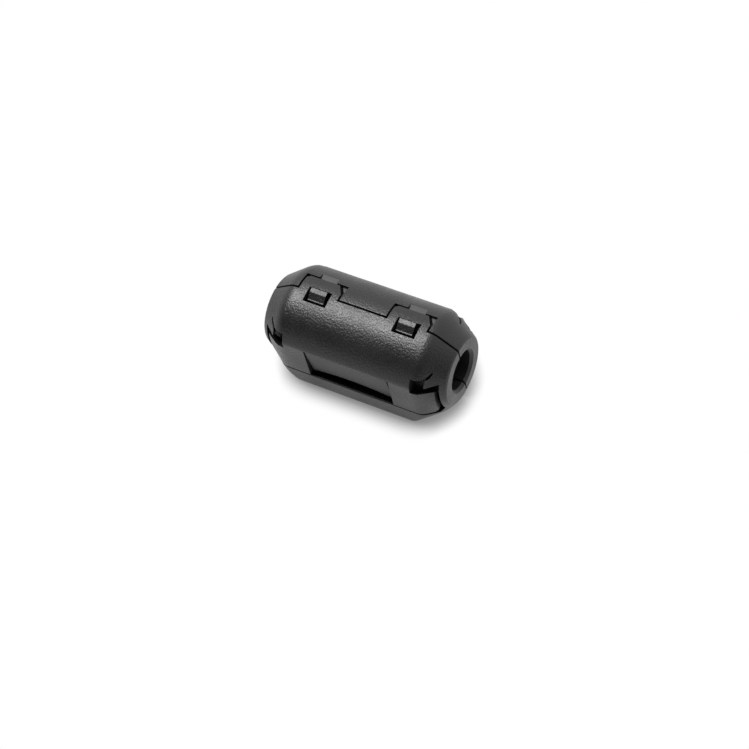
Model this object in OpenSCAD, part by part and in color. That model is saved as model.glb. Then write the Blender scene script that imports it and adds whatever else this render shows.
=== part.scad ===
// Clip-on ferrite bead: a hinged two-part plastic case that snaps shut around
// a cable and holds a split ferrite core against it.
// X runs along the cable, the parting plane is Y = 0, the latches are on top (+Z)
// and the moulded hinge is at the bottom, in the middle of the foot flat (Z = 0).

/* [Cable] */
// Diameter of the cable passage through the end walls and the core
cable_d = 5; // [3:0.1:7]
// Depth of the chamfer at the mouth of the passage
mouth_chamfer = 0.3; // [0.1:0.05:0.6]

/* [Ferrite core] */
// Outer diameter of the closed core
core_d = 9.6; // [8.6:0.1:13]
// Length of the core
core_len = 20; // [16:0.5:34]
// Air gap left between the two faces of the core
core_air_gap = 0.04; // [0.02:0.01:0.1]
// Radial room between the core and its cavity
core_clear = 0.15; // [0.05:0.05:0.3]
// Room between each end of the core and its end wall
core_end_clear = 0.1; // [0.05:0.05:0.4]
// Chamfer around the ends of the core
core_chamfer = 0.3; // [0.1:0.1:0.6]

/* [Case] */
// Wall over the core at the latches and at the hinge
wall = 1.55; // [1.4:0.05:2.4]
// Wall over the core at the two side flats
flat_wall = 1; // [0.8:0.05:1.3]
// Thickness of each end wall
end_wall = 2.3; // [2:0.1:4]
// Width of the flat ring around each end of the passage
ring_w = 1.8; // [1.4:0.1:2.2]
// Length of each tapered end
cone_len = 3; // [2.4:0.1:4]
// Radius of the two corners on the hinge side
corner_r = 1.8; // [1:0.1:3]
// Height at which the conical trim of those corners stands off the tapered ends
corner_trim = 0.45; // [0.3:0.05:1]
// Gap between the two halves at the parting plane
parting_gap = 0.1; // [0.04:0.02:0.2]

/* [Latches] */
// Distance from each end of the case to the middle of its latch
latch_inset = 6.45; // [5.5:0.05:7.5]
// Width of a latch tab
tab_w = 5.2; // [4:0.1:5.6]
// Length of a tab past the parting plane
tab_reach = 2.2; // [1.8:0.05:2.8]
// Thickness of a tab
tab_t = 0.75; // [0.6:0.05:0.85]
// Width of the cut corner on the end of a tab, on its +X side
tab_corner_w = 0.85; // [0.3:0.05:1]
// Length of the cut corner on the end of a tab, on its +X side
tab_corner_len = 1.3; // [0.3:0.05:1.4]
// Size of the cut corner on the end of a tab, on its -X side
tab_corner_small = 0.4; // [0.1:0.05:1]
// Room around a tab in its pocket
tab_clear = 0.2; // [0.1:0.05:0.3]
// Room between a tab and the floor of its pocket
pocket_clear = 0.2; // [0.1:0.05:0.3]
// Width of the window in a tab
window_w = 2.8; // [2:0.1:3.2]
// Height of the window above the parting plane
window_above = 0.65; // [0.5:0.05:0.9]
// Height of the window below the parting plane
window_below = 1.35; // [0.8:0.05:1.6]
// Room at each side of a hook in its window
hook_side_clear = 0.3; // [0.1:0.05:0.5]
// Room behind a hook, where the window catches it
catch_clear = 0.05; // [0.02:0.01:0.15]
// Length of a hook in front of the parting plane
hook_lead = 0.12; // [0:0.02:0.4]
// Fall of the ramp on top of a hook
hook_ramp = 0.6; // [0.3:0.05:0.8]
// Width of the pry notch behind a tab
pry_w = 2.3; // [1.6:0.1:3]
// Length of the pry notch behind a tab
pry_len = 1; // [0.6:0.05:1.4]

/* [Side slots and core springs] */
// Distance from each end of the core to the side slot
slot_inset = 4.3; // [3.5:0.1:6]
// Distance from the upper crease of the flat to the top of the slot
slot_drop = 0.07; // [0.05:0.01:0.4]
// Distance from the middle of the flat to the bottom of the slot
slot_below = 2.8; // [2.2:0.1:3]
// Inward lean of the core spring from its root to its tip
spring_lean = 0.5; // [0.2:0.05:0.7]
// Distance from the tip of the core spring to the bottom of the slot
spring_tip_gap = 0.45; // [0.3:0.05:1]
// Rise of the arched tip in the middle of the core spring
spring_arch = 0.55; // [0.2:0.05:1]
// Room at each end of the core spring
spring_side_clear = 0.12; // [0.1:0.02:0.4]
// Room between the core spring and the core
spring_clear = 0.06; // [0.02:0.02:0.2]

// Depth of the fine seam that runs along each flat, level with the slot's bottom
seam_depth = 0.12; // [0.05:0.01:0.2]

/* [Core fingers] */
// Distance from each end of the case to the free end of its finger
finger_inset = 1.2; // [0.9:0.05:1.5]
// Half height of a finger at its top
finger_up = 2.4; // [2:0.05:2.6]
// Half height of a finger at its bottom
finger_down = 2.75; // [2.2:0.05:2.9]
// Width of the slits around a finger
finger_slit = 0.2; // [0.15:0.05:0.3]
// Extra width of the end slit at its bottom
finger_slit_flare = 0.15; // [0:0.05:0.3]
// Length of the opening above the root of a finger
finger_hole_len = 1.5; // [1:0.1:2]
// Height of the opening above the root of a finger
finger_hole_h = 1.35; // [0.8:0.05:1.6]
// Depth to which a finger overlaps the end of the core
finger_grip = 0.6; // [0.2:0.05:0.7]
// Wall left around the passage behind a finger
finger_back_wall = 1.25; // [1:0.05:1.5]

/* [Hinge] */
// Depth of the hinge groove in the foot flat
groove_depth = 0.9; // [0.8:0.05:1]
// Room at each side of the folded hinge straps in their groove
groove_clear = 0.25; // [0.15:0.05:0.5]
// Length of the hinge groove
groove_len = 17; // [14:0.5:17]
// Thickness of the hinge straps
strap_t = 0.3; // [0.2:0.05:0.35]
// Radius of the folded straps, at mid thickness
strap_r = 0.7; // [0.5:0.05:0.72]
// Width of a hinge strap
strap_w = 5; // [3:0.5:6]
// Distance between the middles of the two straps
strap_pitch = 10.5; // [8:0.5:11]

/* [Hidden] */
$fn = 96;
CASE_COLOUR = "#2e2e30";
CORE_COLOUR = "#55555a";
LEFT = -1;
RIGHT = 1;
FRONT = -1;
BACK = 1;

cavity_r = core_d / 2 + core_clear;
cavity_len = core_len + 2 * core_end_clear;
case_r = cavity_r + wall;
case_len = cavity_len + 2 * end_wall;
flat_w = 2 * (cavity_r + flat_wall);
ring_r = cable_d / 2 + ring_w;
body_len = case_len - 2 * cone_len;
skin = 0.01;
crease_z = sqrt(pow(case_r, 2) - pow(flat_w / 2, 2));
far = 2 * case_r;

latch_x = case_len / 2 - latch_inset;
tab_end_y = tab_reach;
pocket_r = case_r - tab_t - pocket_clear;
hook_w = window_w - 2 * hook_side_clear;
pry_floor_z = sqrt(pow(case_r, 2) - pow(tab_end_y + pry_len, 2));

slot_len = core_len - 2 * slot_inset;
slot_top = crease_z - slot_drop;
spring_tip_z = spring_tip_gap - slot_below;
spring_len = slot_len - 2 * spring_side_clear;
arch_r = (pow(spring_len / 2, 2) + pow(spring_arch, 2)) / (2 * spring_arch);

finger_end_x = case_len / 2 - finger_inset;
finger_hole_x = cavity_len / 2 - finger_hole_len;
finger_back_r = cable_d / 2 + finger_back_wall;

groove_top_z = groove_depth - case_r;
groove_w = 2 * (strap_r + strap_t / 2 + groove_clear);

// Lifts a shape drawn around the cable's axis to its height above the foot.
module seated() {
    translate([0, 0, case_r]) children();
}

// Extrudes a drawing in Y and Z along X, centred.
module along_x(length) {
    rotate([90, 0, 90]) linear_extrude(length, center = true) children();
}

// Extrudes a drawing in X and Z along Y, centred.
module along_y(length) {
    rotate([90, 0, 0]) linear_extrude(length, center = true) children();
}

// A rod around the cable's axis.
module rod(r, length) {
    rotate([0, 90, 0]) cylinder(h = length, r = r, center = true);
}

// What lies on one side of the parting plane, from a given distance on.
module side_space(side, gap) {
    translate([-case_len, side > 0 ? gap : -gap - far, -far]) cube([2 * case_len, far, 2 * far]);
}

// Outline of the case across the cable: round at the latches, flat at the
// sides, and square with round corners at the hinge.
module case_outline() {
    corner_y = flat_w / 2 - corner_r;
    intersection() {
        union() {
            circle(case_r);
            translate([-flat_w / 2, corner_r - case_r]) square([flat_w, case_r - corner_r]);
            translate([-corner_y, -case_r]) square([2 * corner_y, case_r]);
            for (side = [FRONT, BACK])
                translate([side * corner_y, corner_r - case_r]) circle(corner_r);
        }
        translate([-flat_w / 2, -case_r]) square([flat_w, 2 * case_r]);
    }
}

// The outer shape: a straight body whose ends taper to the round end rings,
// with its two square corners trimmed by a cone at each end.
module case_solid() {
    trim_r = ring_r + corner_trim;
    mid_r = trim_r + case_len / 2 * (case_r - ring_r) / cone_len;
    intersection() {
        union() {
            along_x(body_len) case_outline();
            for (end = [LEFT, RIGHT]) hull() {
                translate([end * (body_len - skin) / 2, 0, 0]) along_x(skin) case_outline();
                translate([end * (case_len - skin) / 2, 0, 0]) rod(ring_r, skin);
            }
        }
        rotate([0, 90, 0]) rotate_extrude() polygon([
            [0, -case_len / 2], [trim_r, -case_len / 2], [mid_r, 0], [trim_r, case_len / 2], [0, case_len / 2]
        ]);
    }
}

// The fine seam along the bottom of each side flat.
module flat_seams() {
    for (side = [FRONT, BACK])
        along_x(body_len) translate([side * flat_w / 2, -slot_below]) rotate(45)
            square(seam_depth * sqrt(2), center = true);
}

// The cable passage with its chamfered mouths, and the cavity for the core.
module passage_and_cavity() {
    rod(cable_d / 2, 2 * case_len);
    rod(cavity_r, cavity_len);
    for (end = [LEFT, RIGHT])
        translate([end * case_len / 2, 0, 0]) rotate([0, end * 90, 0]) translate([0, 0, -mouth_chamfer])
            cylinder(h = 2 * mouth_chamfer, r1 = cable_d / 2, r2 = cable_d / 2 + 2 * mouth_chamfer);
}

// The groove in the foot flat that the folded hinge straps lie in.
module hinge_groove() {
    translate([-groove_len / 2, -groove_w / 2, -far + groove_top_z]) cube([groove_len, groove_w, far]);
}

// Opening through the wall at a side flat.
module side_slot(side) {
    slot_y = cavity_r - flat_wall;
    translate([-slot_len / 2, side > 0 ? slot_y : -slot_y - far, -slot_below])
        cube([slot_len, far, slot_below + slot_top]);
}

// Springy plate in the side slot: it hangs from the slot's top edge, leans
// inward onto the core and ends in an arched free edge.
module core_spring(side) {
    root_y = flat_w / 2;
    length = norm([spring_lean, slot_top - spring_tip_z]);
    lean = atan2(spring_lean, slot_top - spring_tip_z);
    reach = root_y * cos(lean) - slot_top * sin(lean);
    thickness = reach - core_d / 2 - spring_clear;
    root = 2 * slot_drop;
    intersection() {
        along_x(spring_len) intersection() {
            scale([side, 1]) translate([root_y, slot_top]) rotate(-lean)
                translate([-thickness, -length]) square([thickness, length + root]);
            case_outline();
        }
        translate([0, 0, spring_tip_z + spring_arch - arch_r]) difference() {
            translate([-spring_len, -far, 0]) cube([2 * spring_len, 2 * far, 2 * arch_r]);
            rotate([90, 0, 0]) cylinder(h = 3 * far, r = arch_r, center = true);
        }
    }
}

// Cut that frees the finger at one end of a side flat: an opening above its
// root, a slit along its top, end and bottom, and room behind it to bend. It
// stops at the wall around the passage.
module finger_cut() {
    hole_x = finger_hole_x;
    root_x = cavity_len / 2;
    end_x = finger_end_x;
    slit = finger_slit;
    top = finger_up;
    low = -finger_down;
    corner = 2 * slit;
    lip_z = top + finger_hole_h;
    peg_z = lip_z - corner;
    difference() {
        union() {
            translate([0, far / 2, 0]) along_y(far) {
                polygon([
                    [hole_x, top], [root_x, top], [root_x, peg_z], [root_x + corner, peg_z + slit],
                    [root_x + 2 * corner, lip_z + 2 * slit], [root_x, lip_z + slit / 2], [hole_x, lip_z]
                ]);
                polygon([
                    [hole_x, top - slit / 2], [end_x, top - slit / 2], [end_x, low + corner],
                    [end_x - corner, low], [hole_x + corner, low], [hole_x + corner, low - slit],
                    [end_x, low - slit], [end_x + slit + finger_slit_flare, low + corner],
                    [end_x + slit, top + slit / 2], [hole_x, top + slit / 2]
                ]);
            }
            intersection() {
                rod(cavity_r - finger_grip, 2 * (end_x + slit));
                translate([root_x - slit, 0, low]) cube([case_len, far, top - low]);
            }
        }
        rod(finger_back_r, case_len);
    }
}

// Both halves of the case before they are parted.
module case_blank() {
    difference() {
        case_solid();
        passage_and_cavity();
        hinge_groove();
        flat_seams();
        for (side = [FRONT, BACK]) side_slot(side);
        for (my = [0, 1], mx = [0, 1]) mirror([0, my, 0]) mirror([mx, 0, 0]) finger_cut();
    }
}

module case_half(side) {
    intersection() {
        case_blank();
        side_space(side, parting_gap / 2);
    }
    core_spring(side);
}

// Window for a hook, seen from above.
module window_cut() {
    translate([-window_w / 2, -window_below, cavity_r - wall])
        cube([window_w, window_below + window_above, far]);
}

// Shell between two radii above the parting plane's top edge.
module top_shell(inner_r, outer_r, length) {
    along_x(length) intersection() {
        difference() {
            circle(outer_r);
            circle(inner_r);
        }
        translate([-outer_r, 0]) square([2 * outer_r, outer_r]);
    }
}

// Latch tab: it carries on the curve of the case past the parting plane, has
// a window that catches the hook, and cut corners at its end.
module latch_tab() {
    root_y = -parting_gap / 2;
    difference() {
        intersection() {
            top_shell(case_r - tab_t, case_r, tab_w);
            linear_extrude(far) polygon([
                [-tab_w / 2, root_y], [tab_w / 2, root_y], [tab_w / 2, tab_end_y - tab_corner_len],
                [tab_w / 2 - tab_corner_w, tab_end_y], [tab_corner_small - tab_w / 2, tab_end_y],
                [-tab_w / 2, tab_end_y - tab_corner_small]
            ]);
        }
        window_cut();
    }
}

// Pocket for a tab in the other half, with a pry notch behind the tab.
module tab_pocket() {
    pocket_w = tab_w + 2 * tab_clear;
    intersection() {
        top_shell(pocket_r, far, pocket_w);
        translate([-pocket_w / 2, 0, 0]) cube([pocket_w, tab_end_y + tab_clear, far]);
    }
    translate([-pry_w / 2, tab_end_y, pry_floor_z]) cube([pry_w, pry_len + tab_clear, far]);
}

// Hook that stands in the window: a ramp at its front lifts the tab as the
// case is shut, and its square back is caught by the window's edge.
module hook() {
    back_y = window_above - catch_clear;
    top_z = sqrt(pow(case_r, 2) - pow(back_y, 2));
    base_z = (cavity_r + pocket_r) / 2;
    along_x(hook_w) polygon([
        [-hook_lead, base_z], [-hook_lead, top_z - hook_ramp], [back_y, top_z], [back_y, base_z]
    ]);
}

// One half of the ferrite core, parted at the plane of the case.
module core_half(side) {
    chamfer_r = core_d / 2 - core_chamfer;
    edge_x = core_len / 2 - core_chamfer;
    intersection() {
        difference() {
            rotate([0, 90, 0]) rotate_extrude() polygon([
                [0, -core_len / 2], [chamfer_r, -core_len / 2], [core_d / 2, -edge_x],
                [core_d / 2, edge_x], [chamfer_r, core_len / 2], [0, core_len / 2]
            ]);
            rod(cable_d / 2, 2 * core_len);
        }
        side_space(side, core_air_gap / 2);
    }
}

module window_half() {
    color(CASE_COLOUR) seated() difference() {
        case_half(FRONT);
        for (end = [LEFT, RIGHT]) translate([end * latch_x, 0, 0]) window_cut();
    }
}

module latch_tab_left() {
    color(CASE_COLOUR) seated() translate([LEFT * latch_x, 0, 0]) latch_tab();
}

module latch_tab_right() {
    color(CASE_COLOUR) seated() translate([RIGHT * latch_x, 0, 0]) latch_tab();
}

module hook_half() {
    color(CASE_COLOUR) seated() {
        difference() {
            case_half(BACK);
            for (end = [LEFT, RIGHT]) translate([end * latch_x, 0, 0]) tab_pocket();
        }
        for (end = [LEFT, RIGHT]) translate([end * latch_x, 0, 0]) hook();
    }
}

module hinge_straps() {
    color(CASE_COLOUR) seated() for (end = [LEFT, RIGHT])
        translate([end * strap_pitch / 2, 0, groove_top_z]) along_x(strap_w) intersection() {
            difference() {
                circle(strap_r + strap_t / 2);
                circle(strap_r - strap_t / 2);
            }
            translate([-far, -2 * far]) square(2 * far);
        }
}

module core_front() {
    color(CORE_COLOUR) seated() core_half(FRONT);
}

module core_back() {
    color(CORE_COLOUR) seated() core_half(BACK);
}

window_half();
latch_tab_left();
latch_tab_right();
hook_half();
hinge_straps();
core_front();
core_back();
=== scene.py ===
"""Looks of a clip-on ferrite bead.

The bead is a case of moulded black polyamide, two shells on a living hinge,
that snaps shut around a cable and holds a split ferrite core against it.
Pieces are shaped in millimetres around the axis of the cable, which runs
along X, and are then set down in the frame in metres.
"""

import logging
import math
from collections.abc import Callable, Sequence
from dataclasses import dataclass, field
from enum import Enum
from functools import partial

import bmesh
import bpy
from mathutils import Matrix, Vector


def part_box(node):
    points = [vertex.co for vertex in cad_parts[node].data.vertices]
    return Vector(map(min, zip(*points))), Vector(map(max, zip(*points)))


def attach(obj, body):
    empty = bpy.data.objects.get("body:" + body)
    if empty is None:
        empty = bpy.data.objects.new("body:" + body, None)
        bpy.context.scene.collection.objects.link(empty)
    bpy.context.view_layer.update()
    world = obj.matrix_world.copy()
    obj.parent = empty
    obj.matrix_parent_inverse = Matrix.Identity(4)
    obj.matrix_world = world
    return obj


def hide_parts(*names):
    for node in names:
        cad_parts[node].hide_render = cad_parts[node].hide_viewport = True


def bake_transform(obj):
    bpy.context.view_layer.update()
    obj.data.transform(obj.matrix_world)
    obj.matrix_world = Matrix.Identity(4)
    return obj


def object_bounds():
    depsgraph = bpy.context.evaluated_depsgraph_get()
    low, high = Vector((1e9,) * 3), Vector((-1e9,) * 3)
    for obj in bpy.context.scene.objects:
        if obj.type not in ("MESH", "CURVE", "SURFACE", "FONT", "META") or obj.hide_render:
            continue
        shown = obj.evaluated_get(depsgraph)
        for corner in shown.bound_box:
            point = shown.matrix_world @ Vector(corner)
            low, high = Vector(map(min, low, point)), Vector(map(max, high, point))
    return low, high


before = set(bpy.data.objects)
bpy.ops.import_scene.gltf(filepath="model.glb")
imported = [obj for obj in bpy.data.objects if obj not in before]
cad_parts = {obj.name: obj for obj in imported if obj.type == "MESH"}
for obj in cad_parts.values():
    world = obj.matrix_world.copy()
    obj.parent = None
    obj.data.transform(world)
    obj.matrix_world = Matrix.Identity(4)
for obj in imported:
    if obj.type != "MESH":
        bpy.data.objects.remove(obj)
CAD_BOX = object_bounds()

LOG = logging.getLogger("ferrite_bead")
MM = 0.001

# Facets of a round cut
AROUND = 160
# Steps of the skin around the case, along its tapered ends, and over their rounded rims
FINE_TURN = math.radians(2.4)
FINE_STEP = 0.26
RIM_STEP = 0.085
# Edges that turn by more than this are rounded over by a bevel, in this many steps
SHARP_ANGLE = math.radians(25)
BEVEL_STEPS = 3
# Faces that turn by less than this against each other are one flat face
FLAT_ANGLE = math.radians(0.3)
# Vertices closer than this to a sharper one are drawn onto it, in millimetres, in this many rounds
SLIVER = 0.08
WELD_ROUNDS = 2
# The least part of a direction that a radius is divided by
LEAST = 0.001


class Side(Enum):
    """The two shells: the one with the latch windows, and the one with the hooks."""

    WINDOW = -1
    HOOK = 1


class End(Enum):
    """The two ends of the bead along the cable."""

    LEFT = -1
    RIGHT = 1


class Skin(Enum):
    """The material slots of a piece: its outer faces, and the faces that cuts leave."""

    OUTER = 0
    INNER = 1


class Joining(Enum):
    """What a tool solid does to a workpiece."""

    CUT = "DIFFERENCE"
    ADD = "UNION"
    KEEP = "INTERSECT"


Finishes = dict[Skin, bpy.types.Material]


# ---------------------------------------------------------------- solids


class Workpiece:
    """A closed solid in millimetres, which other solids shape."""

    def __init__(self, bm: bmesh.types.BMesh, skin: Skin = Skin.INNER, name: str = "tool") -> None:
        """Turns a finished bmesh into an object.

        Args:
            bm: The closed mesh. It is freed here.
            skin: The finish of its faces, which they keep when it shapes another piece.
            name: The name of the object.
        """
        bmesh.ops.recalc_face_normals(bm, faces=bm.faces)
        for face in bm.faces:
            face.material_index = skin.value
        mesh = bpy.data.meshes.new(name)
        bm.to_mesh(mesh)
        bm.free()
        for _ in Skin:
            mesh.materials.append(None)
        self.obj = bpy.data.objects.new(name, mesh)
        bpy.context.scene.collection.objects.link(self.obj)

    def bake(self) -> None:
        """Applies the object's modifiers to its mesh."""
        bpy.context.view_layer.update()
        graph = bpy.context.evaluated_depsgraph_get()
        shaped = bpy.data.meshes.new_from_object(self.obj.evaluated_get(graph))
        rough = self.obj.data
        self.obj.modifiers.clear()
        self.obj.data = shaped
        bpy.data.meshes.remove(rough)

    def combine(self, tool: "Workpiece", joining: Joining) -> "Workpiece":
        """Shapes this piece with a tool, which is used up.

        Args:
            tool: The other solid.
            joining: Whether it cuts, adds or keeps.

        Returns:
            This piece.
        """
        modifier = self.obj.modifiers.new("shape", "BOOLEAN")
        modifier.operation = joining.value
        modifier.solver = "EXACT"
        modifier.object = tool.obj
        self.bake()
        used = tool.obj.data
        bpy.data.objects.remove(tool.obj)
        bpy.data.meshes.remove(used)
        return self

    def cut(self, *tools: "Workpiece") -> "Workpiece":
        """Takes tools away from this piece.

        Args:
            tools: The other solids, which are used up.

        Returns:
            This piece.
        """
        for tool in tools:
            self.combine(tool, Joining.CUT)
        return self

    def add(self, *tools: "Workpiece") -> "Workpiece":
        """Fuses tools to this piece.

        Args:
            tools: The other solids, which are used up.

        Returns:
            This piece.
        """
        for tool in tools:
            self.combine(tool, Joining.ADD)
        return self

    def keep(self, tool: "Workpiece") -> "Workpiece":
        """Keeps only what lies inside the tool."""
        return self.combine(tool, Joining.KEEP)

    def finish(self, name: str, edge_r: float, lift: float, finishes: Finishes) -> bpy.types.Object:
        """Rounds the sharp edges, gives the piece its finishes and sets it down in the frame.

        Args:
            name: The name of the finished piece.
            edge_r: Width of the rounded edges in millimetres.
            lift: Height of the cable's axis above the foot in millimetres.
            finishes: The materials of its outer faces and of those that cuts left.

        Returns:
            The finished object, in metres, with its place in its mesh.
        """
        weld_slivers(self.obj.data)
        bevel = self.obj.modifiers.new("edges", "BEVEL")
        bevel.width = edge_r
        bevel.segments = BEVEL_STEPS
        bevel.limit_method = "ANGLE"
        bevel.angle_limit = SHARP_ANGLE
        bevel.use_clamp_overlap = False
        shading = self.obj.modifiers.new("shading", "WEIGHTED_NORMAL")
        shading.keep_sharp = True
        self.obj.data.shade_smooth()
        self.bake()
        place = Matrix.Scale(MM, 4) @ Matrix.Translation((0, 0, lift))
        self.obj.data.transform(place)
        self.obj.name = name
        self.obj.data.name = name
        for skin in Skin:
            self.obj.data.materials[skin.value] = finishes[skin]
        LOG.info("%s: %d faces", name, len(self.obj.data.polygons))
        return self.obj


def sharpness(vert: bmesh.types.BMVert) -> int:
    """Says how much of the shape a vertex carries.

    Args:
        vert: A vertex of a closed mesh.

    Returns:
        0 within a surface, 1 along a sharp edge, 2 at a corner.
    """
    sharp = [e for e in vert.link_edges if e.calc_face_angle(0) > SHARP_ANGLE]
    if not sharp:
        return 0
    if len(sharp) != 2:
        return 2
    first, second = (e.other_vert(vert).co - vert.co for e in sharp)
    if first.length == 0 or second.length == 0:
        return 1
    return 1 if first.angle(-second) < SHARP_ANGLE / 2 else 2


def weld_slivers(mesh: bpy.types.Mesh) -> None:
    """Closes up the short edges that cuts leave, so that a bevel runs past them cleanly.

    Args:
        mesh: The mesh to mend.
    """
    bm = bmesh.new()
    bm.from_mesh(mesh)
    for _ in range(WELD_ROUNDS):
        ranks = {vert: sharpness(vert) for vert in bm.verts}
        targets: dict[bmesh.types.BMVert, bmesh.types.BMVert] = {}
        for edge in sorted(bm.edges, key=lambda e: e.calc_length()):
            if edge.calc_length() > SLIVER:
                break
            low, high = sorted(edge.verts, key=lambda v: ranks[v])
            if ranks[low] == 2 or low in targets or high in targets or low in targets.values():
                continue
            targets[low] = high
        bmesh.ops.weld_verts(bm, targetmap=targets)
    bmesh.ops.dissolve_degenerate(bm, dist=SLIVER / 100, edges=bm.edges)
    bmesh.ops.dissolve_limit(bm, angle_limit=FLAT_ANGLE, verts=bm.verts, edges=bm.edges)
    bm.to_mesh(mesh)
    bm.free()


def slab(low: Sequence[float], high: Sequence[float]) -> Workpiece:
    """A block.

    Args:
        low: Its lowest corner in millimetres.
        high: Its highest corner in millimetres.

    Returns:
        The solid.
    """
    bm = bmesh.new()
    bmesh.ops.create_cube(bm, size=1)
    size = [b - a for a, b in zip(low, high)]
    middle = [(a + b) / 2 for a, b in zip(low, high)]
    bmesh.ops.scale(bm, vec=size, verts=bm.verts)
    bmesh.ops.translate(bm, vec=middle, verts=bm.verts)
    return Workpiece(bm)


def rod(radius: float, length: float, middle_x: float = 0) -> Workpiece:
    """A rod along the axis of the cable.

    Args:
        radius: Its radius in millimetres.
        length: Its length in millimetres.
        middle_x: The place of its middle along the axis.

    Returns:
        The solid.
    """
    bm = bmesh.new()
    bmesh.ops.create_cone(
        bm, cap_ends=True, segments=AROUND, radius1=radius, radius2=radius, depth=length
    )
    bmesh.ops.rotate(bm, verts=bm.verts, matrix=Matrix.Rotation(math.radians(90), 3, "Y"))
    bmesh.ops.translate(bm, vec=(middle_x, 0, 0), verts=bm.verts)
    return Workpiece(bm)


def prism(
    outline: Sequence[Sequence[float]], sweep: Sequence[float], skin: Skin = Skin.INNER
) -> Workpiece:
    """A flat outline swept along a line.

    Args:
        outline: The corners of the outline in space, in order, in millimetres.
        sweep: The vector along which it is swept.
        skin: The finish of its faces.

    Returns:
        The solid.
    """
    bm = bmesh.new()
    face = bm.faces.new([bm.verts.new(point) for point in outline])
    swept = bmesh.ops.extrude_face_region(bm, geom=[face])
    moved = [item for item in swept["geom"] if isinstance(item, bmesh.types.BMVert)]
    bmesh.ops.translate(bm, vec=sweep, verts=moved)
    return Workpiece(bm, skin)


@dataclass(frozen=True)
class Ring:
    """One ring of a lofted solid: its place along X, and its radius in each direction."""

    x: float
    radius: Callable[[float], float]


def lofted(rings: Sequence[Ring], angles: Sequence[float], skin: Skin = Skin.INNER) -> Workpiece:
    """A solid skinned over rings across the X axis.

    Args:
        rings: The rings in order.
        angles: The directions of the points of each ring, from +Y towards +Z, in order.
        skin: The finish of its faces.

    Returns:
        The solid.
    """
    bm = bmesh.new()
    loop = bmesh.ops.create_circle(bm, segments=len(angles), radius=1)["verts"]
    for vert, angle in zip(loop, angles):
        vert.co = (0, math.cos(angle), math.sin(angle))
    edges = list(bm.edges)
    for index, ring in enumerate(rings):
        if index:
            grown = bmesh.ops.extrude_edge_only(bm, edges=edges)["geom"]
            loop = [item for item in grown if isinstance(item, bmesh.types.BMVert)]
            edges = [item for item in grown if isinstance(item, bmesh.types.BMEdge)]
        for vert in loop:
            angle = math.atan2(vert.co.z, vert.co.y)
            radius = ring.radius(angle)
            vert.co = (ring.x, radius * math.cos(angle), radius * math.sin(angle))
    bmesh.ops.holes_fill(bm, edges=bm.edges)
    return Workpiece(bm, skin)


def turned(
    profile: Sequence[tuple[float, float]], phase: float = 0, skin: Skin = Skin.INNER
) -> Workpiece:
    """A solid turned around the axis of the cable.

    Args:
        profile: Its places along the axis and its radii there, in order, in millimetres.
        phase: How far its facets are turned, in facets.
        skin: The finish of its faces.

    Returns:
        The solid.
    """
    angles = [math.tau * (step + phase) / AROUND for step in range(AROUND)]
    return lofted([Ring(x, lambda _, radius=radius: radius) for x, radius in profile], angles, skin)


def between(marks: Sequence[float], step: float) -> list[float]:
    """Places that keep clear of marks: the middles of even steps between them.

    Args:
        marks: The places to keep clear of, in order.
        step: The longest step.

    Returns:
        The places in order.
    """
    places = []
    for start, stop in zip(marks, marks[1:]):
        count = math.ceil(round((stop - start) / step, 3))
        places += [start + (stop - start) * (part + 0.5) / count for part in range(count)]
    return places


def soft_min(a: float, b: float, blend: float) -> float:
    """The lower of two values, rounded over where they are closer than blend."""
    near = max(blend - abs(a - b), 0.0) / blend
    return min(a, b) - near * near * blend / 4


# ---------------------------------------------------------------- finishes


def colour(code: str) -> tuple[float, float, float, float]:
    """Turns an sRGB hex code into the linear colour that a socket takes.

    Args:
        code: The colour, as #rrggbb.

    Returns:
        The linear red, green and blue, and an alpha of 1.
    """
    parts = [int(code[i : i + 2], 16) / 255 for i in (1, 3, 5)]
    linear = [part / 12.92 if part <= 0.04045 else ((part + 0.055) / 1.055) ** 2.4 for part in parts]
    return (*linear, 1.0)


def add_node(
    tree: bpy.types.NodeTree, kind: str, sockets: dict[str | int, object], **settings: object
) -> bpy.types.Node:
    """Adds a node to a tree.

    Args:
        tree: The node tree.
        kind: The type of the node.
        sockets: What each input gets: a value, or the output socket that feeds it.
        settings: The node's own settings.

    Returns:
        The node.
    """
    node = tree.nodes.new(kind)
    for name, value in settings.items():
        setattr(node, name, value)
    for socket, value in sockets.items():
        if isinstance(value, bpy.types.NodeSocket):
            tree.links.new(value, node.inputs[socket])
        else:
            node.inputs[socket].default_value = value
    return node


def per_metre(size_mm: float) -> float:
    """The scale of a pattern whose features are this many millimetres across."""
    return 1 / (size_mm * MM)


def bare_material(name: str) -> tuple[bpy.types.Material, bpy.types.NodeTree]:
    """Makes a material with an empty node tree.

    Args:
        name: The name of the material.

    Returns:
        The material and its tree.
    """
    material = bpy.data.materials.new(name)
    material.use_nodes = True
    material.node_tree.nodes.clear()
    return material, material.node_tree


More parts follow.
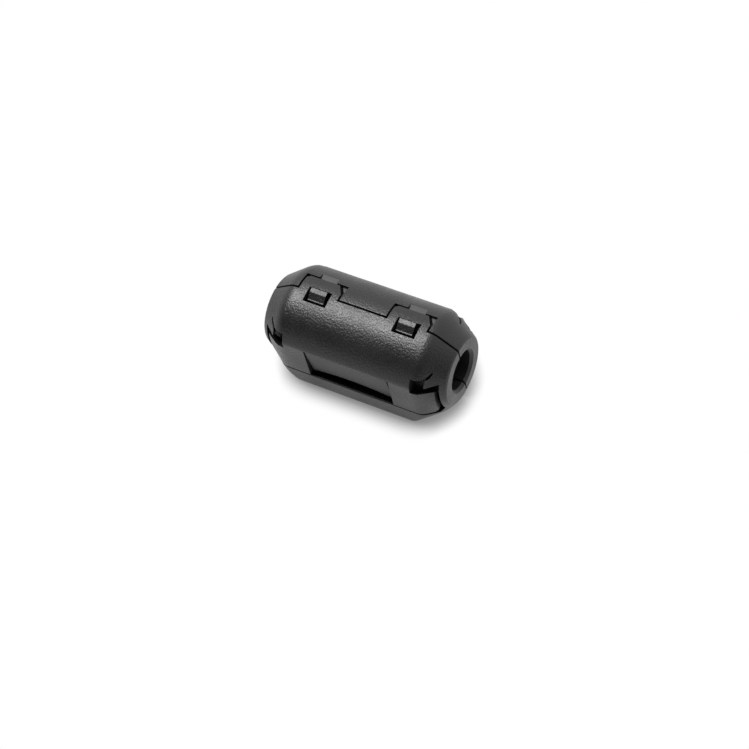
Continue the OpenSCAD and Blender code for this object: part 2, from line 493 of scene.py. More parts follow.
@dataclass(frozen=True)
class MouldedPolyamide:
    """Black polyamide as it leaves the mould: dull, and finely pitted where the mould was eroded."""

    name: str
    tint: str = "#131314"
    roughness: float = 0.37
    roughness_swing: float = 0.16
    grain_mm: float = 0.24
    grain_depth_mm: float = 0.06
    grain_detail: float = 2.5
    grain_rough: float = 0.6
    flow_mm: float = 3.5
    flow_detail: float = 3.0
    contrast: float = 0.3
    ior: float = 1.5

    def material(self) -> bpy.types.Material:
        """Makes the material.

        Returns:
            The material.
        """
        material, tree = bare_material(self.name)
        place = add_node(tree, "ShaderNodeTexCoord", {}).outputs["Object"]
        # Pits of the eroded mould: they break the gloss of the top into small sparks. The real ones
        # are about half as wide and a third as deep: these are as coarse as it takes to show them
        pits = {"Vector": place, "Scale": per_metre(self.grain_mm)}
        pits |= {"Detail": self.grain_detail, "Roughness": self.grain_rough}
        grain = add_node(tree, "ShaderNodeTexNoise", pits)
        bump = {"Distance": self.grain_depth_mm * MM, "Height": grain.outputs["Fac"]}
        normal = add_node(tree, "ShaderNodeBump", bump)
        # Slow changes of gloss, as the melt fills the mould
        flow = {"Vector": place, "Scale": per_metre(self.flow_mm), "Detail": self.flow_detail}
        patches = add_node(tree, "ShaderNodeTexNoise", flow)
        swing = self.roughness_swing
        both = add_node(tree, "ShaderNodeMath", {0: patches.outputs["Fac"], 1: grain.outputs["Fac"]})
        spread = {"Value": both.outputs["Value"]}
        spread |= {"From Min": 1 - self.contrast, "From Max": 1 + self.contrast}
        spread |= {"To Min": self.roughness - swing / 2, "To Max": self.roughness + swing / 2}
        gloss = add_node(tree, "ShaderNodeMapRange", spread)
        surface = {"Base Color": colour(self.tint), "IOR": self.ior}
        surface |= {"Roughness": gloss.outputs["Result"], "Normal": normal.outputs["Normal"]}
        shader = add_node(tree, "ShaderNodeBsdfPrincipled", surface)
        add_node(tree, "ShaderNodeOutputMaterial", {"Surface": shader.outputs["BSDF"]})
        return material


@dataclass(frozen=True)
class FiredFerrite:
    """Sintered nickel-zinc ferrite: a grey-black ceramic with open pores and pale dust in them."""

    name: str
    tint: str = "#1f1f21"
    dust_tint: str = "#343335"
    roughness: float = 0.7
    grain_mm: float = 0.12
    grain_depth_mm: float = 0.02
    grain_detail: float = 4.0
    grain_rough: float = 0.65
    stretch: float = 1.0
    rubbed_mm: float = 4.0
    rubbed_detail: float = 5.0
    rubbed_rough: float = 0.6
    dust_from: float = 0.22
    dust_full: float = 0.42
    ior: float = 1.5

    def material(self) -> bpy.types.Material:
        """Makes the material.

        Returns:
            The material.
        """
        material, tree = bare_material(self.name)
        place = add_node(tree, "ShaderNodeTexCoord", {}).outputs["Object"]
        # A grinding wheel draws the grain out along the core. The real grit is a few hundredths of
        # a millimetre wide: this is as coarse as it takes to show it
        drawn = {"Vector": place, "Scale": (1 / self.stretch, 1.0, 1.0)}
        along = add_node(tree, "ShaderNodeMapping", drawn).outputs["Vector"]
        grit = {"Vector": along, "Scale": per_metre(self.grain_mm)}
        grit |= {"Detail": self.grain_detail, "Roughness": self.grain_rough}
        grain = add_node(tree, "ShaderNodeTexNoise", grit).outputs["Fac"]
        # Pale powder sits in the pores and rubbed patches
        rubbed = {"Vector": place, "Scale": per_metre(self.rubbed_mm)}
        rubbed |= {"Detail": self.rubbed_detail, "Roughness": self.rubbed_rough}
        patches = add_node(tree, "ShaderNodeTexNoise", rubbed).outputs["Fac"]
        both = add_node(tree, "ShaderNodeMath", {0: grain, 1: patches}, operation="MULTIPLY")
        amount = {"Value": both.outputs["Value"], "From Min": self.dust_from, "From Max": self.dust_full}
        dusted = add_node(tree, "ShaderNodeMapRange", amount).outputs["Result"]
        # A Mix node's colours are its seventh and eighth inputs and its third output
        tints = {0: dusted, 6: colour(self.tint), 7: colour(self.dust_tint)}
        mixed = add_node(tree, "ShaderNodeMix", tints, data_type="RGBA")
        relief = {"Distance": self.grain_depth_mm * MM, "Height": grain}
        normal = add_node(tree, "ShaderNodeBump", relief)
        surface = {"Base Color": mixed.outputs[2], "Roughness": self.roughness, "IOR": self.ior}
        surface |= {"Normal": normal.outputs["Normal"]}
        shader = add_node(tree, "ShaderNodeBsdfPrincipled", surface)
        add_node(tree, "ShaderNodeOutputMaterial", {"Surface": shader.outputs["BSDF"]})
        return material


# ---------------------------------------------------------------- the case


@dataclass(frozen=True)
class CaseForm:
    """Sizes of the case in millimetres: those of the frame are read from it."""

    low: Vector
    high: Vector
    tab_low: Vector
    tab_high: Vector
    core_low: Vector
    core_high: Vector
    cavity_clear: float = 0.15
    cavity_end_clear: float = 0.1
    passage_r: float = 2.5
    mouth_r: float = 0.35
    mouth_steps: int = 4
    mouth_past: float = 1.0
    ring_r: float = 4.3
    cone_len: float = 3.0
    corner_r: float = 1.8
    corner_trim: float = 0.45
    crease_blend: float = 0.12
    shoulder_blend: float = 0.5
    trim_blend: float = 0.3
    plain_len: float = 2.0
    rim_len: float = 0.25
    rim_drop: float = 0.2
    parting: float = 0.11

    @classmethod
    def from_frame(cls) -> "CaseForm":
        """Reads the sizes that the frame holds.

        Returns:
            The sizes of the case.
        """
        low, high = (corner / MM for corner in CAD_BOX)
        tab_low, tab_high = (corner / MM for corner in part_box("latch_tab_right"))
        core_low, core_high = (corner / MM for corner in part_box("core_back"))
        return cls(low, high, tab_low, tab_high, core_low, core_high)

    @property
    def case_r(self) -> float:
        """Radius of the case at the latches, which is also the axis's height."""
        return self.high.z / 2

    @property
    def flat_y(self) -> float:
        """Distance from the axis to a side flat."""
        return self.high.y

    @property
    def end_x(self) -> float:
        """Distance from the middle to an end."""
        return self.high.x

    @property
    def body_x(self) -> float:
        """Distance from the middle to where an end starts to taper."""
        return self.end_x - self.cone_len

    @property
    def cavity_r(self) -> float:
        """Radius of the cavity for the core."""
        return self.core_high.y + self.cavity_clear

    @property
    def cavity_x(self) -> float:
        """Distance from the middle to an end wall."""
        return self.core_high.x + self.cavity_end_clear

    @property
    def crease_z(self) -> float:
        """Height above the axis where a flat meets the round top."""
        return math.sqrt(self.case_r**2 - self.flat_y**2)

    def outline_radius(self, angle: float) -> float:
        """Radius of the outline across the cable: round on top, square with round corners below.

        Args:
            angle: The direction from +Y towards +Z.

        Returns:
            The distance from the axis to the outline.
        """
        sideways, down = abs(math.cos(angle)), -math.sin(angle)
        flat = self.flat_y / max(sideways, LEAST)
        if down < 0:
            return soft_min(self.case_r, flat, self.crease_blend)
        corner_y, corner_z = self.flat_y - self.corner_r, self.case_r - self.corner_r
        along = sideways * corner_y + down * corner_z
        inside = along**2 - corner_y**2 - corner_z**2 + self.corner_r**2
        if inside > 0:
            reach = along + math.sqrt(inside)
            if reach * sideways >= corner_y and reach * down >= corner_z:
                return reach
        return min(flat, self.case_r / max(down, LEAST))

    def skin_radius(self, angle: float, x: float) -> float:
        """Radius of the outer skin: the outline, tapering to a ring at each end.

        Args:
            angle: The direction from +Y towards +Z.
            x: The place along the cable.

        Returns:
            The distance from the axis to the skin.
        """
        outline = self.outline_radius(angle)
        slope = (self.case_r - self.ring_r) / self.cone_len
        from_end = self.end_x - abs(x)
        taper = self.ring_r + (outline - self.ring_r) * from_end / self.cone_len
        cone = self.ring_r + self.corner_trim + slope * from_end
        shoulder = soft_min(outline, taper, self.shoulder_blend)
        rim = max(1 - from_end / self.rim_len, 0.0)
        return soft_min(shoulder, cone, self.trim_blend) - self.rim_drop * (1 - math.sqrt(1 - rim**2))


@dataclass(frozen=True)
class LatchForm:
    """Sizes of a latch in millimetres, around its middle along the cable."""

    tab_t: float = 0.75
    corner_w: float = 0.85
    corner_len: float = 1.3
    corner_small: float = 0.4
    tab_clear: float = 0.23
    pocket_clear: float = 0.2
    pocket_y: float = -1.0
    window_w: float = 3.0
    window_above: float = 0.6
    window_below: float = 1.44
    window_shift: float = 0.1
    window_deep: float = 1.5
    hook_w: float = 2.2
    hook_root: float = 0.15
    catch_clear: float = 0.05
    hook_lead: float = 0.05
    hook_fall: float = 0.11
    foot_y: float = -0.9
    foot_w: float = 0.14
    foot_z: float = 5.84
    step_z: float = 5.5
    pry_w: float = 2.3
    pry_len: float = 1.0


@dataclass(frozen=True)
class FlatForm:
    """Sizes in a side flat in millimetres: its slot, core spring, seam and fingers."""

    slot_inset: float = 4.3
    slot_drop: float = 0.2
    slot_below: float = 2.8
    slot_deep: float = 1.0
    spring_lean: float = 0.6
    spring_bend: float = 1.1
    spring_t: float = 0.52
    spring_gap: float = 0.45
    spring_arch: float = 0.8
    spring_clear: float = 0.18
    spring_columns: int = 24
    spring_rows: int = 10
    seam_depth: float = 0.12
    finger_inset: float = 1.2
    finger_up: float = 2.4
    finger_down: float = 2.75
    slit: float = 0.2
    side_slit: float = 0.42
    slit_flare: float = 0.2
    foot_slit: float = 0.5
    sill_drop: float = 0.5
    sill_drift: float = 1.3
    tail_len: float = 0.75
    tail_h: float = 0.35
    tail_turn: float = math.radians(45)
    cut_y: float = 1.2
    hole_len: float = 1.55
    hole_h: float = 1.35
    finger_grip: float = 0.6
    back_wall: float = 1.25
    lip_t: float = 0.2
    sill_lip_t: float = -0.15
    fall_depth: float = 1.8
    fall_slope: float = 0.85


@dataclass
class CaseShell:
    """One shell of the case, with everything that is moulded onto it."""

    side: Side
    form: CaseForm
    latch: LatchForm = field(default_factory=LatchForm)
    flat: FlatForm = field(default_factory=FlatForm)
    edge_r: float = 0.05
    groove_depth: float = 0.9
    groove_half_w: float = 1.1
    groove_half_len: float = 8.5

    @property
    def far(self) -> float:
        """A distance past every side of the case."""
        return 2 * self.form.case_r

    @property
    def tab_half(self) -> float:
        """Half the width of a latch tab."""
        return (self.form.tab_high.x - self.form.tab_low.x) / 2

    def latch_x(self, end: End) -> float:
        """Middle of the latch at one end."""
        return end.value * (self.form.tab_low.x + self.form.tab_high.x) / 2

    def skin(self) -> Workpiece:
        """The outer shape of the whole case, with its lines of points clear of the cuts.

        Returns:
            The solid.
        """
        form, latch, flat = self.form, self.latch, self.flat
        # Directions in which a cut runs along the cable, from the foot up to the latches
        under = -math.acos(form.parting / form.case_r)
        groove = -math.atan2(form.case_r, self.groove_half_w)
        corner = -math.atan2(form.case_r - form.corner_r, form.flat_y)
        slot = math.atan2(form.crease_z - flat.slot_drop, form.flat_y)
        crease = math.asin(form.crease_z / form.case_r)
        tail_x = form.cavity_x + flat.tail_len
        tail_r = form.skin_radius(flat.tail_turn, tail_x)
        tail = math.asin((flat.finger_up + flat.hole_h + flat.tail_h) / tail_r)
        lines = [form.parting, latch.window_above, latch.window_below, form.tab_high.y]
        lines += [form.tab_high.y + latch.tab_clear, form.tab_high.y + latch.pry_len]
        top = sorted(math.acos(y / form.case_r) for y in lines)
        half = between([under, groove, corner], FINE_TURN)
        half += between([corner, slot, crease, tail, *top], FINE_TURN)
        angles = half + [math.pi / 2] + [math.pi - angle for angle in reversed(half)] + [math.pi * 3 / 2]
        # Places along the cable at which a cut runs around the case
        outside = self.latch_x(End.RIGHT) + self.tab_half
        marks = [form.body_x - form.plain_len, outside, outside + latch.tab_clear, form.cavity_x]
        finger_x, rim_x = form.end_x - flat.finger_inset, form.end_x - form.rim_len
        marks += [tail_x, finger_x, finger_x + flat.side_slit, rim_x]
        outer = between(marks, FINE_STEP) + between([rim_x, form.end_x], RIM_STEP) + [form.end_x]
        stations = [-x for x in reversed(outer)] + outer
        rings = [Ring(x, partial(form.skin_radius, x=x)) for x in stations]
        return lofted(rings, angles, Skin.OUTER)

    def hollow(self) -> Workpiece:
        """The cable passage with its rounded mouths, and the cavity for the core.

        Returns:
            The solid to cut away.
        """
        form, mouth = self.form, self.form.mouth_r
        lips = [(form.end_x + form.mouth_past, form.passage_r + mouth)]
        for step in range(form.mouth_steps + 1):
            inward = math.sin(math.radians(90 * step / form.mouth_steps))
            lips.append((form.end_x - mouth * inward, form.passage_r + mouth * (1 - inward)))
        lips += [(form.cavity_x, form.passage_r), (form.cavity_x, form.cavity_r)]
        return turned([(-x, radius) for x, radius in lips] + list(reversed(lips)))

    def side_block(self, low: Sequence[float], high: Sequence[float]) -> Workpiece:
        """A block given for the +Y side, on this shell's own side."""
        near, away = sorted((self.side.value * low[1], self.side.value * high[1]))
        return slab((low[0], near, low[2]), (high[0], away, high[2]))

    def slot(self) -> Workpiece:
        """The opening through the side flat, all round its core spring.

        Returns:
            The solid to cut away.
        """
        form, flat = self.form, self.flat
        half = form.core_high.x - flat.slot_inset
        top = form.crease_z - flat.slot_drop
        deep_y = form.cavity_r - flat.slot_deep
        low, high = (-half, deep_y, -flat.slot_below), (half, self.far, top)
        return self.side_block(low, high).cut(self.spring())

    def fall(self, start_x: float, stop_x: float, z: float, lip_t: float, drift: float = 0) -> Workpiece:
        """The slope by which the floor of an opening falls away behind its edge.

        Args:
            start_x: Where the slope starts along the cable.
            stop_x: Where it stops.
            z: Height of the opening's floor above the axis.
            lip_t: How much of the floor stays level behind the edge.
            drift: How far it draws in on the way, to follow the tapered end.

        Returns:
            The solid to cut away.
        """
        form, flat = self.form, self.flat
        lip_y = form.flat_y - lip_t
        deep_y = lip_y - flat.fall_depth
        side = [(lip_y, z), (lip_y, z + SLIVER), (deep_y, z + SLIVER)]
        side += [(deep_y, z - flat.fall_depth * flat.fall_slope)]
        outline = [(start_x, self.side.value * y, up) for y, up in side]
        return prism(outline, (stop_x - start_x, -self.side.value * drift, 0))

    def seam(self) -> Workpiece:
        """The fine mould seam along the flat, level with the slot's bottom.

        Returns:
            The solid to cut away.
        """
        y, z, depth = self.side.value * self.form.flat_y, -self.flat.slot_below, self.flat.seam_depth
        x = self.form.body_x
        outline = [(-x, y - depth, z), (-x, y, z - depth), (-x, y + depth, z), (-x, y, z + depth)]
        return prism(outline, (2 * x, 0, 0))

    def spring(self) -> Workpiece:
        """The plate in the slot that presses on the core: it bends inward to an arched free edge.

        Returns:
            The solid.
        """
        form, flat = self.form, self.flat
        half = form.core_high.x - flat.slot_inset - flat.spring_clear
        top = form.crease_z - flat.slot_drop
        low = flat.spring_gap - flat.slot_below
        columns, rows = flat.spring_columns, flat.spring_rows
        bm = bmesh.new()
        corners: list[list[bmesh.types.BMVert]] = []
        for step in range(columns + 1):
            x = -half + 2 * half * step / columns
            tip = low + flat.spring_arch * (1 - (x / half) ** 2)
            face = [(form.flat_y, form.case_r)]
            for row in range(rows + 1):
                z = top + (tip - top) * row / rows
                bend = ((top - z) / (top - low)) ** flat.spring_bend
                face.append((form.flat_y - flat.spring_lean * bend, z))
            sheet = face + [(y - flat.spring_t, z) for y, z in reversed(face)]
            corners.append([bm.verts.new((x, self.side.value * y, z)) for y, z in sheet])
        loops = []
        for sheet in corners:
            loops.append([bm.edges.new((vert, sheet[index - 1])) for index, vert in enumerate(sheet)])
        for first, second in zip(loops, loops[1:]):
            bmesh.ops.bridge_loops(bm, edges=first + second)
        bm.faces.new(corners[0])
        bm.faces.new(corners[-1])
        return Workpiece(bm)

    def finger_cut(self, end: End) -> Workpiece:
        """The cut that frees the core finger at one end of the flat.

        Args:
            end: The end of the bead.

        Returns:
            The opening above the finger, with its sloping floor, the slits round the finger and
            the room behind it.
        """
        form, flat = self.form, self.flat
        slit, corner = flat.slit, 2 * flat.slit
        hole_x, root_x = form.cavity_x - flat.hole_len, form.cavity_x + slit / 4
        end_x, low = form.end_x - flat.finger_inset, -flat.finger_down
        side_x, tail_x = end_x + flat.side_slit, form.cavity_x + flat.tail_len
        sill, slit_top = flat.finger_up - flat.sill_drop, flat.finger_up + slit
        lip = flat.finger_up + flat.hole_h
        peg = lip - corner
        # The finger's own edges: top, end and foot
        outline = [(hole_x, sill), (end_x, sill), (end_x, low + corner), (end_x - corner, low)]
        outline += [(hole_x + corner, low)]
        # The far sides of the slits at its foot and end
        outline += [(hole_x + corner, low - slit / 2), (end_x, low - flat.foot_slit)]
        outline += [(side_x + flat.slit_flare, low + corner), (side_x, slit_top), (root_x, slit_top)]
        # The peg that reaches into the opening, the pointed tail above it, and the curved lip
        outline += [(root_x, peg), (root_x + corner, peg + slit)]
        outline += [(tail_x, lip + 3 * slit / 4), (tail_x - slit / 2, lip + flat.tail_h)]
        outline += [(root_x + corner, lip + slit), (root_x, lip + slit / 4)]
        outline += [(root_x - corner, lip - slit / 4), (hole_x + corner, lip), (hole_x, lip + slit / 4)]
        side = self.side.value
        corners = [(end.value * x, side * flat.cut_y, z) for x, z in outline]
        front = prism(corners, (0, side * self.far, 0))
        back_x = end.value * (root_x + end_x - slit) / 2
        back = rod(form.cavity_r - flat.finger_grip, end_x - root_x + 3 * slit, back_x)
        back.keep(self.side_block((-form.end_x, 0, low), (form.end_x, self.far, flat.finger_up)))
        # The floor falls away straight along the body, then follows the tapered end
        runs = [(hole_x, form.body_x + SLIVER / 8, 0), (form.body_x, end_x + slit, flat.sill_drift)]
        for start_x, stop_x, drift in runs:
            front.add(self.fall(end.value * start_x, end.value * stop_x, sill, flat.sill_lip_t, drift))
        front.add(back)
        return front.cut(rod(form.passage_r + flat.back_wall, 2 * self.far))

    def groove(self) -> Workpiece:
        """The groove in the foot for the folded hinge straps.

        Returns:
            The solid to cut away.
        """
        top = self.groove_depth - self.form.case_r
        x, y = self.groove_half_len, self.groove_half_w
        return slab((-x, -y, -self.far), (x, y, top))

    def blank(self) -> Workpiece:
        """The whole case with its cavities, before it is parted into two shells.

        Returns:
            The solid.
        """
        half = self.form.core_high.x - self.flat.slot_inset + self.flat.slit
        piece = self.skin().cut(self.hollow(), self.groove(), self.seam(), self.slot())
        piece.cut(self.fall(-half, half, -self.flat.slot_below, self.flat.lip_t))
        for end in End:
            piece.cut(self.finger_cut(end))
        return piece

    def window(self, x: float) -> Workpiece:
        """The window for a hook, cut down into the cavity.

        Args:
            x: The middle of the latch along the cable.

        Returns:
            The solid to cut away.
        """
        latch = self.latch
        low_x, high_x = (x + latch.window_shift + edge.value * latch.window_w / 2 for edge in End)
        low = (low_x, -latch.window_below, self.form.cavity_r - latch.window_deep)
        return slab(low, (high_x, latch.window_above, self.far))

    def half_space(self) -> Workpiece:
        """All that lies on this shell's side of the parting plane."""
        return self.side_block((-self.far, self.form.parting, -self.far), (self.far, self.far, self.far))

    def tab_space(self, x: float) -> Workpiece:
        """The space of a latch tab, past the parting plane and over the other shell's pocket.

        Args:
            x: The middle of the latch along the cable.

        Returns:
            The solid to keep.
        """
        form, latch = self.form, self.latch
        half = self.tab_half
        end_y, root_y = form.tab_high.y, -2 * form.parting
        plan = [(-half, root_y), (half, root_y), (half, end_y - latch.corner_len)]
        plan += [(half - latch.corner_w, end_y), (latch.corner_small - half, end_y)]
        plan += [(-half, end_y - latch.corner_small)]
        space = prism([(x + px, py, 0.0) for px, py in plan], (0, 0, self.far))
        return space.cut(rod(form.case_r - latch.tab_t, 2 * self.far))

    def pocket(self, x: float) -> list[Workpiece]:
        """The pocket under a latch tab, and the pry notch behind it.

        Args:
            x: The middle of the latch along the cable.

        Returns:
            The solids to cut away.
        """
        form, latch = self.form, self.latch
        half = self.tab_half + latch.tab_clear
        end_y = form.tab_high.y
        space = slab((x - half, latch.pocket_y, 0.0), (x + half, end_y + latch.tab_clear, self.far))
        space.cut(rod(form.case_r - latch.tab_t - latch.pocket_clear, 2 * self.far))
        back_y = end_y + latch.pry_len
        floor = math.sqrt(form.case_r**2 - back_y**2)
        pry = latch.pry_w / 2
        notch = slab((x - pry, end_y, floor), (x + pry, back_y + latch.tab_clear, self.far))
        return [space, notch]

    def step(self, x: float) -> Workpiece:
        """The flat step in the corner of a pocket that the cut corner of the tab leaves open.

        Args:
            x: The middle of the latch along the cable.

        Returns:
            The solid to add.
        """
        latch = self.latch
        side_x = self.tab_half + latch.tab_clear + SLIVER
        end_y = self.form.tab_high.y + latch.tab_clear + SLIVER
        run = (latch.corner_w + latch.tab_clear) / 2
        rise = run * latch.corner_len / latch.corner_w
        plan = [(side_x - 2 * run, end_y), (side_x, end_y), (side_x, end_y - 2 * rise)]
        base = self.form.cavity_r
        return prism([(x + px, py, base) for px, py in plan], (0, 0, latch.step_z - base))

    def hook(self, x: float) -> Workpiece:
        """The hook that stands in a window: a sloping nose on a foot, and a square catch behind.

        Args:
            x: The middle of the latch along the cable.

        Returns:
            The solid to add.
        """
        form, latch = self.form, self.latch
        low_x = x - latch.window_shift - latch.hook_w / 2
        back_y = latch.window_above - latch.catch_clear
        top = math.sqrt(form.case_r**2 - back_y**2)
        base = form.case_r - latch.tab_t - latch.pocket_clear - latch.hook_root
        side = [(latch.foot_y, base), (latch.foot_y, latch.foot_z)]
        side += [(latch.foot_y + latch.foot_w, latch.foot_z), (-latch.hook_lead, top - latch.hook_fall)]
        side += [(back_y, top), (back_y, base)]
        return prism([(low_x, y, z) for y, z in side], (latch.hook_w, 0, 0), Skin.OUTER)

    def build(self, finishes: Finishes) -> bpy.types.Object:
        """Builds the shell.

        Args:
            finishes: The materials of its skin and of its inner faces.

        Returns:
            The finished piece.
        """
        piece = self.blank()
        space = self.half_space()
        if self.side is Side.WINDOW:
            for end in End:
                space.add(self.tab_space(self.latch_x(end)))
            piece.keep(space)
            for end in End:
                piece.cut(self.window(self.latch_x(end)))
        else:
            piece.keep(space)
            for end in End:
                piece.cut(*self.pocket(self.latch_x(end)))
                piece.add(self.step(self.latch_x(end)), self.hook(self.latch_x(end)))
        name = "window_shell" if self.side is Side.WINDOW else "hook_shell"
        return piece.finish(name, self.edge_r, self.form.case_r, finishes)


@dataclass
class CoreHalf:
    """One half of the split ferrite tube, ground flat where it meets the other half."""

    side: Side
    form: CaseForm
    chamfer: float = 0.3
    edge_r: float = 0.1

    def build(self, finishes: Finishes) -> bpy.types.Object:
        """Builds the half.

        Args:
            finishes: The materials of its fired skin and of its ground faces.

        Returns:
            The finished piece.
        """
        form = self.form
        end_x, radius = form.core_high.x, form.core_high.y
        rims = [(end_x, radius - self.chamfer), (end_x - self.chamfer, radius)]
        piece = turned([(-x, r) for x, r in rims] + list(reversed(rims)), 0.5, Skin.OUTER)
        piece.cut(rod(form.passage_r, 4 * end_x))
        near, away = sorted((self.side.value * form.core_low.y, self.side.value * 2 * radius))
        piece.keep(slab((-2 * end_x, near, -2 * radius), (2 * end_x, away, 2 * radius)))
        name = "window_core" if self.side is Side.WINDOW else "hook_core"
        return piece.finish(name, self.edge_r, form.case_r, finishes)


@dataclass
class HingeStrap:
    """One strap of the living hinge, folded into a U in the foot's groove."""

    end: End
    form: CaseForm
    low: Vector
    high: Vector
    thickness: float = 0.3
    width: float = 5.0
    edge_r: float = 0.06
    steps: int = 28

    @classmethod
    def at(cls, end: End, form: CaseForm) -> "HingeStrap":
        """Reads the place of a strap from the frame."""
        low, high = (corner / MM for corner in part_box("hinge_straps"))
        return cls(end, form, low, high)

    def build(self, finishes: Finishes) -> bpy.types.Object:
        """Builds the strap.

        Args:
            finishes: The materials of its faces.

        Returns:
            The finished piece.
        """
        outer, inner = self.high.y, self.high.y - self.thickness
        root_z = self.high.z - self.form.case_r
        start = self.end.value * self.high.x
        turns = [math.pi * (1 + step / self.steps) for step in range(self.steps + 1)]
        outline = [(start, outer * math.cos(turn), root_z + outer * math.sin(turn)) for turn in turns]
        outline += [
            (start, inner * math.cos(turn), root_z + inner * math.sin(turn)) for turn in reversed(turns)
        ]
        piece = prism(outline, (-self.end.value * self.width, 0, 0))
        name = f"hinge_strap_{self.end.name.lower()}"
        return piece.finish(name, self.edge_r, self.form.case_r, finishes)


def build_bead() -> None:
    """Builds every piece of the bead, and hangs each shell and core half on its body."""
    form = CaseForm.from_frame()
    eroded = MouldedPolyamide("black_polyamide_eroded")
    smooth = MouldedPolyamide(
        "black_polyamide_smooth", roughness=0.5, roughness_swing=0.06, grain_depth_mm=0.003
    )
    fired = FiredFerrite("ferrite_fired")
    ground = FiredFerrite("ferrite_ground", roughness=0.4, grain_depth_mm=0.006, stretch=8)
    plastic = {Skin.OUTER: eroded.material(), Skin.INNER: smooth.material()}
    ferrite = {Skin.OUTER: fired.material(), Skin.INNER: ground.material()}
    bodies = {Side.WINDOW: "window_side", Side.HOOK: "hook_side"}
    nodes = {
        Side.WINDOW: ("window_half", "latch_tab_left", "latch_tab_right"),
        Side.HOOK: ("hook_half",),
    }
    cores = {Side.WINDOW: "core_front", Side.HOOK: "core_back"}
    for side in Side:
        shell = CaseShell(side, form).build(plastic)
        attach(shell, bodies[side])
        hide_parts(*nodes[side])
        core = CoreHalf(side, form).build(ferrite)
        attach(core, bodies[side])
        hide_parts(cores[side])
    for end in End:
        strap = HingeStrap.at(end, form)
        piece = strap.build(plastic)
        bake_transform(piece)
        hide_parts("hinge_straps")


# ---------------------------------------------------------------- the studio


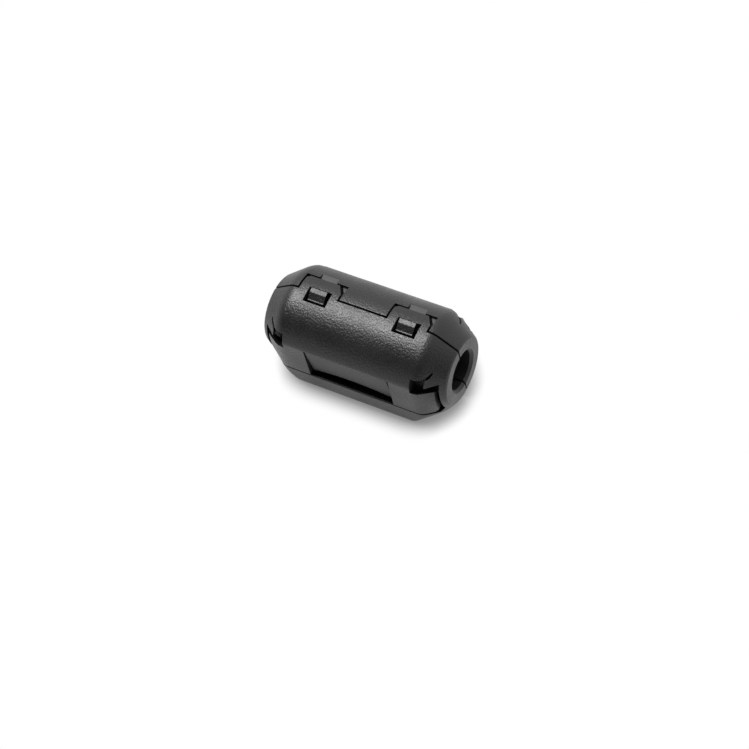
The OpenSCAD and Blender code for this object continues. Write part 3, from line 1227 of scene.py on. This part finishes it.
@dataclass(frozen=True)
class Studio:
    """A pale table top under one large soft box, in a room that is darker in front than behind."""

    floor_size: float = 4.0
    shade_reach: float = 0.0027
    shade_from: float = 0.3
    shade_least: float = 0.25
    shade_samples: int = 24
    room_front: float = 0.1
    room_back: float = 1.0
    front_way: float = -0.6
    back_way: float = 0.5
    horizon_low: float = 0.02
    horizon_high: float = 0.3
    box_from: tuple[float, float, float] = (-0.36, 0.1, 0.93)
    box_distance: float = 0.4
    box_size: float = 0.2
    box_watts: float = 1.9

    def floor(self) -> bpy.types.Object:
        """Makes the floor.

        Returns:
            The floor, which the bead shades where it closes off the room above it.
        """
        material, tree = bare_material("pale_table")
        # The white below the horizon shows through the floor, and only the shade near the bead
        # darkens it, so that a half that swings below the foot is lit and seen as well
        reach = {"Distance": self.shade_reach}
        shade = add_node(tree, "ShaderNodeAmbientOcclusion", reach, samples=self.shade_samples)
        depth = {"Value": shade.outputs["AO"], "From Min": self.shade_from, "To Min": self.shade_least}
        tone = add_node(tree, "ShaderNodeMapRange", depth, interpolation_type="SMOOTHSTEP")
        clear = add_node(tree, "ShaderNodeBsdfTransparent", {"Color": tone.outputs["Result"]})
        add_node(tree, "ShaderNodeOutputMaterial", {"Surface": clear.outputs["BSDF"]})
        bm = bmesh.new()
        bmesh.ops.create_grid(bm, x_segments=1, y_segments=1, size=self.floor_size / 2)
        mesh = bpy.data.meshes.new("floor")
        bm.to_mesh(mesh)
        bm.free()
        mesh.materials.append(material)
        floor = bpy.data.objects.new("floor", mesh)
        bpy.context.scene.collection.objects.link(floor)
        return floor

    def room(self) -> None:
        """Makes the world: white from the table up to just above the horizon, then the room."""
        world = bpy.data.worlds.new("room")
        bpy.context.scene.world = world
        world.use_nodes = True
        tree = world.node_tree
        tree.nodes.clear()
        way = add_node(tree, "ShaderNodeTexCoord", {}).outputs["Generated"]
        parts = add_node(tree, "ShaderNodeSeparateXYZ", {0: way})
        depth = {"Value": parts.outputs["Y"], "From Min": self.front_way, "From Max": self.back_way}
        depth |= {"To Min": self.room_front, "To Max": self.room_back}
        walls = add_node(tree, "ShaderNodeMapRange", depth, interpolation_type="SMOOTHSTEP")
        rise = {"Value": parts.outputs["Z"]}
        rise |= {"From Min": self.horizon_low, "From Max": self.horizon_high}
        up = add_node(tree, "ShaderNodeMapRange", rise, interpolation_type="SMOOTHSTEP")
        share = {0: up.outputs["Result"], 2: 1.0, 3: walls.outputs["Result"]}
        level = add_node(tree, "ShaderNodeMix", share, data_type="FLOAT")
        light = {"Color": colour("#ffffff"), "Strength": level.outputs[0]}
        glow = add_node(tree, "ShaderNodeBackground", light)
        add_node(tree, "ShaderNodeOutputWorld", {"Surface": glow.outputs["Background"]})

    def soft_box(self) -> None:
        """Hangs the soft box over the bead."""
        light = bpy.data.lights.new("soft_box", "AREA")
        light.shape = "DISK"
        light.size = self.box_size
        light.energy = self.box_watts
        lamp = bpy.data.objects.new("soft_box", light)
        way = Vector(self.box_from).normalized()
        lamp.location = way * self.box_distance
        lamp.rotation_euler = way.to_track_quat("Z", "Y").to_euler()
        bpy.context.scene.collection.objects.link(lamp)


@dataclass(frozen=True)
class Viewpoint:
    """The camera: where it stands round the bead, and what it aims past it."""

    azimuth: float = math.radians(40.9)
    elevation: float = math.radians(56.8)
    roll: float = math.radians(-16.17)
    distance_mm: float = 234.06
    aim_right_mm: float = 0.461
    aim_up_mm: float = -4.315
    lens_mm: float = 93.44
    near_clip: float = 0.001

    def camera(self, axis_z: float) -> bpy.types.Object:
        """Makes the camera.

        Args:
            axis_z: Height of the cable's axis in metres.

        Returns:
            The camera.
        """
        turn = Matrix.Rotation(self.azimuth, 4, "Z")
        turn @= Matrix.Rotation(math.radians(90) - self.elevation, 4, "X")
        turn @= Matrix.Rotation(self.roll, 4, "Z")
        step = Vector((self.aim_right_mm, self.aim_up_mm, self.distance_mm)) * MM
        data = bpy.data.cameras.new("camera")
        data.lens = self.lens_mm
        data.clip_start = self.near_clip
        camera = bpy.data.objects.new("camera", data)
        camera.matrix_world = Matrix.Translation((0, 0, axis_z)) @ turn @ Matrix.Translation(step)
        bpy.context.scene.collection.objects.link(camera)
        bpy.context.scene.camera = camera
        return camera


def main() -> None:
    """Builds the bead and its setting."""
    logging.basicConfig(level=logging.INFO, format="%(message)s")
    bpy.context.scene.view_settings.view_transform = "Standard"
    build_bead()
    studio = Studio()
    studio.floor()
    studio.room()
    studio.soft_box()
    Viewpoint().camera(CAD_BOX[1].z / 2)


if __name__ == "__main__":
    main()
